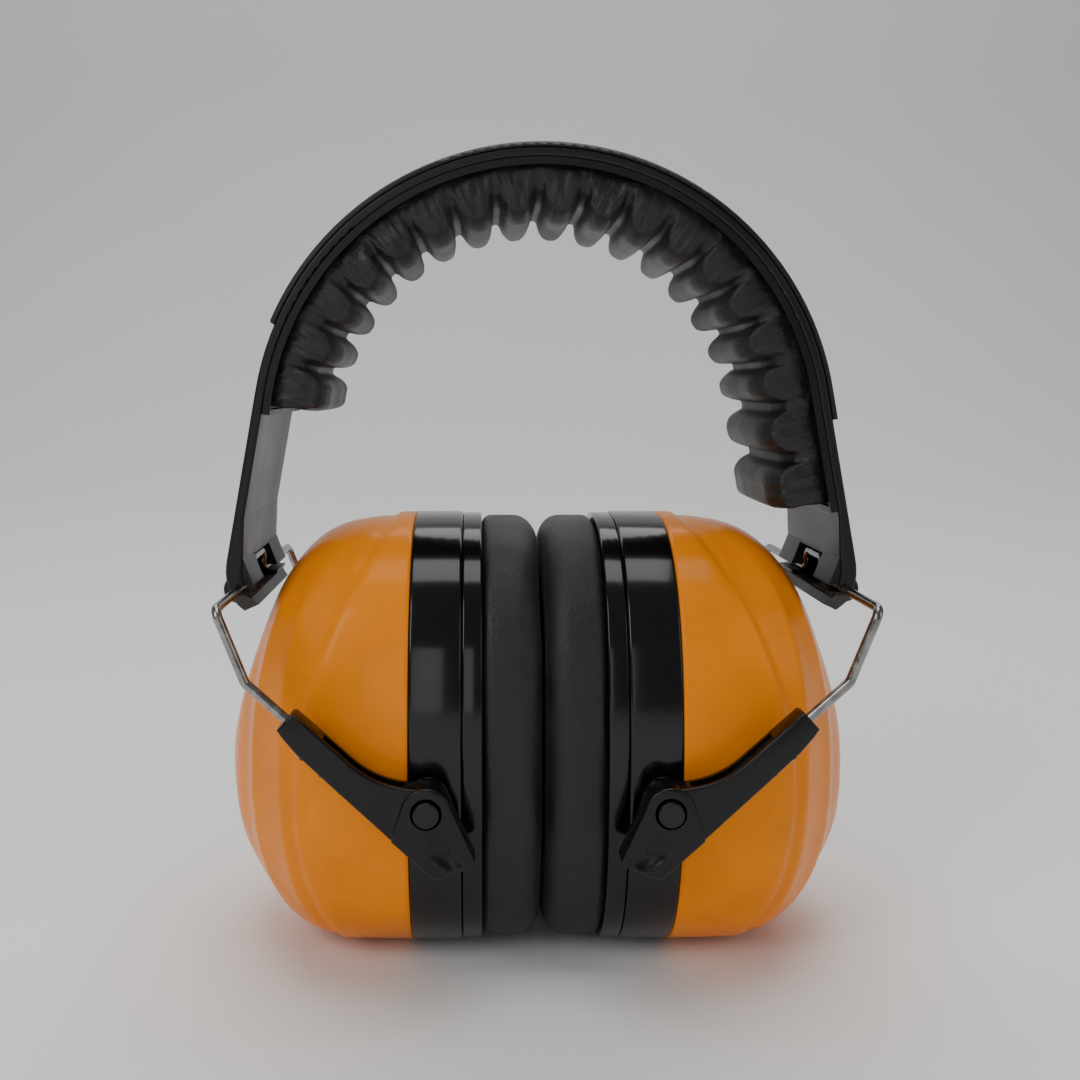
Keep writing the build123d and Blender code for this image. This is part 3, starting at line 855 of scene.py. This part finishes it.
        rows = [Vector((v.co.x, v.co.y, v.co.z)) for v in bm.verts]
        for side, sign in SIDES:
            for end, way in ENDS:
                for vert, row in zip(bm.verts, rows):
                    place = root + along * row.x + across * row.y
                    vert.co = Vector((sign * place.x, way * (low.y + row.z), place.z)) * MM
                bmesh.ops.recalc_face_normals(bm, faces=bm.faces)
                name = f"arm_{end}_{side}"
                made = bpy.data.meshes.new(name + "_skin")
                bm.to_mesh(made)
                made.shade_smooth()
                made.set_sharp_from_angle(angle=radians(32))
                add_piece(name, made, plastic, f"arms_{side}", (f"slider_arm_{end}_{side}",))
        bm.free()
        return {"FINISHED"}


class EARMUFF_OT_stage(bpy.types.Operator):
    """Set the floor, lights and camera"""

    bl_idname = "earmuff.stage"
    bl_label = "Stage"

    def execute(self, context):
        settings = context.scene.earmuff_stage
        scene = context.scene
        bm = bmesh.new()
        outline = [(-3.0, 0.0), (0.9, 0.0)]
        outline += [(0.9 + 0.6 * sin(pi / 2 * i / 12), 0.6 - 0.6 * cos(pi / 2 * i / 12)) for i in range(1, 13)]
        outline += [(1.5, 3.0)]
        rows = [[bm.verts.new((x, y, z)) for y, z in outline] for x in (-3.5, 3.5)]
        for i in range(len(outline) - 1):
            bm.faces.new((rows[0][i], rows[1][i], rows[1][i + 1], rows[0][i + 1]))
        mesh = bpy.data.meshes.new("floor")
        bm.to_mesh(mesh)
        bm.free()
        mesh.shade_smooth()
        floor = bpy.data.objects.new("floor", mesh)
        scene.collection.objects.link(floor)
        material, nodes, links, shader, place = new_material("pale_floor")
        shade = noise_node(nodes, links, place, 3)
        colour = tuple(settings.floor_colour)
        links.new(tinted(nodes, links, shade.outputs["Fac"], tuple(c * 0.98 for c in colour), colour),
                  shader.inputs["Base Color"])
        shader.inputs["Roughness"].default_value = 0.9
        mesh.materials.append(material)
        for name, place, power, size, width in (
            ("key_light", (-0.50, -0.55, 0.55), 2.2, 0.35, 0.45),
            ("fill_light", (0.75, -0.45, 0.35), 0.8, 0.5, 0.5),
            ("top_light", (0.0, -0.05, 0.85), 2.6, 0.5, 0.5),
            ("front_light", (-0.12, -1.0, 0.25), 0.5, 0.25, 0.5),
            ("backdrop_light", (0.0, 1.0, 1.6), 16, 2.4, 0.8),
        ):
            data = bpy.data.lights.new(name, "AREA")
            data.energy, data.shape = power, "RECTANGLE"
            data.size, data.size_y = size, width
            light = bpy.data.objects.new(name, data)
            light.location = place
            light.rotation_euler = (Vector((0, 0, 0.08)) - Vector(place)).to_track_quat("-Z", "Y").to_euler()
            scene.collection.objects.link(light)
        world = bpy.data.worlds.new("studio")
        world.use_nodes = True
        world.node_tree.nodes["Background"].inputs["Color"].default_value = (1, 1, 1, 1)
        world.node_tree.nodes["Background"].inputs["Strength"].default_value = 0.22
        scene.world = world
        data = bpy.data.cameras.new("camera")
        data.lens, data.sensor_width = settings.lens, 36
        data.shift_x, data.shift_y = 0.05, -0.1
        data.clip_start, data.clip_end = 0.01, 20
        camera = bpy.data.objects.new("camera", data)
        camera.location = Vector((-13.945, -269.11, 126.60)) * MM
        camera.rotation_euler = Euler((radians(90 - 2.472), 0, -radians(0.419)))
        scene.collection.objects.link(camera)
        scene.camera = camera
        return {"FINISHED"}


class EARMUFF_PT_panel(bpy.types.Panel):
    """Sizes, colours and pieces of the hearing protector"""

    bl_idname = "EARMUFF_PT_panel"
    bl_label = "Earmuff"
    bl_space_type = "VIEW_3D"
    bl_region_type = "UI"
    bl_category = "Earmuff"

    def draw(self, context):
        layout = self.layout
        for name in GROUPS:
            group = getattr(context.scene, name)
            for field in group.__annotations__:
                layout.prop(group, field)
        for operator in OPERATORS:
            layout.operator(operator.bl_idname)


GROUPS = {"earmuff_shell": ShellSettings, "earmuff_pad": PadSettings,
          "earmuff_cushion": CushionSettings, "earmuff_stage": StageSettings}
OPERATORS = (EARMUFF_OT_band, EARMUFF_OT_shells, EARMUFF_OT_rings, EARMUFF_OT_cushions,
             EARMUFF_OT_pad, EARMUFF_OT_yokes, EARMUFF_OT_arms, EARMUFF_OT_stage)


def register():
    for cls in (*GROUPS.values(), *OPERATORS, EARMUFF_PT_panel):
        bpy.utils.register_class(cls)
    for name, group in GROUPS.items():
        setattr(bpy.types.Scene, name, bpy.props.PointerProperty(type=group))


def unregister():
    for name in GROUPS:
        delattr(bpy.types.Scene, name)
    for cls in reversed((*GROUPS.values(), *OPERATORS, EARMUFF_PT_panel)):
        bpy.utils.unregister_class(cls)


def main():
    register()
    for operator in OPERATORS:
        group, name = operator.bl_idname.split(".")
        getattr(getattr(bpy.ops, group), name)()


if __name__ == "__main__":
    main()
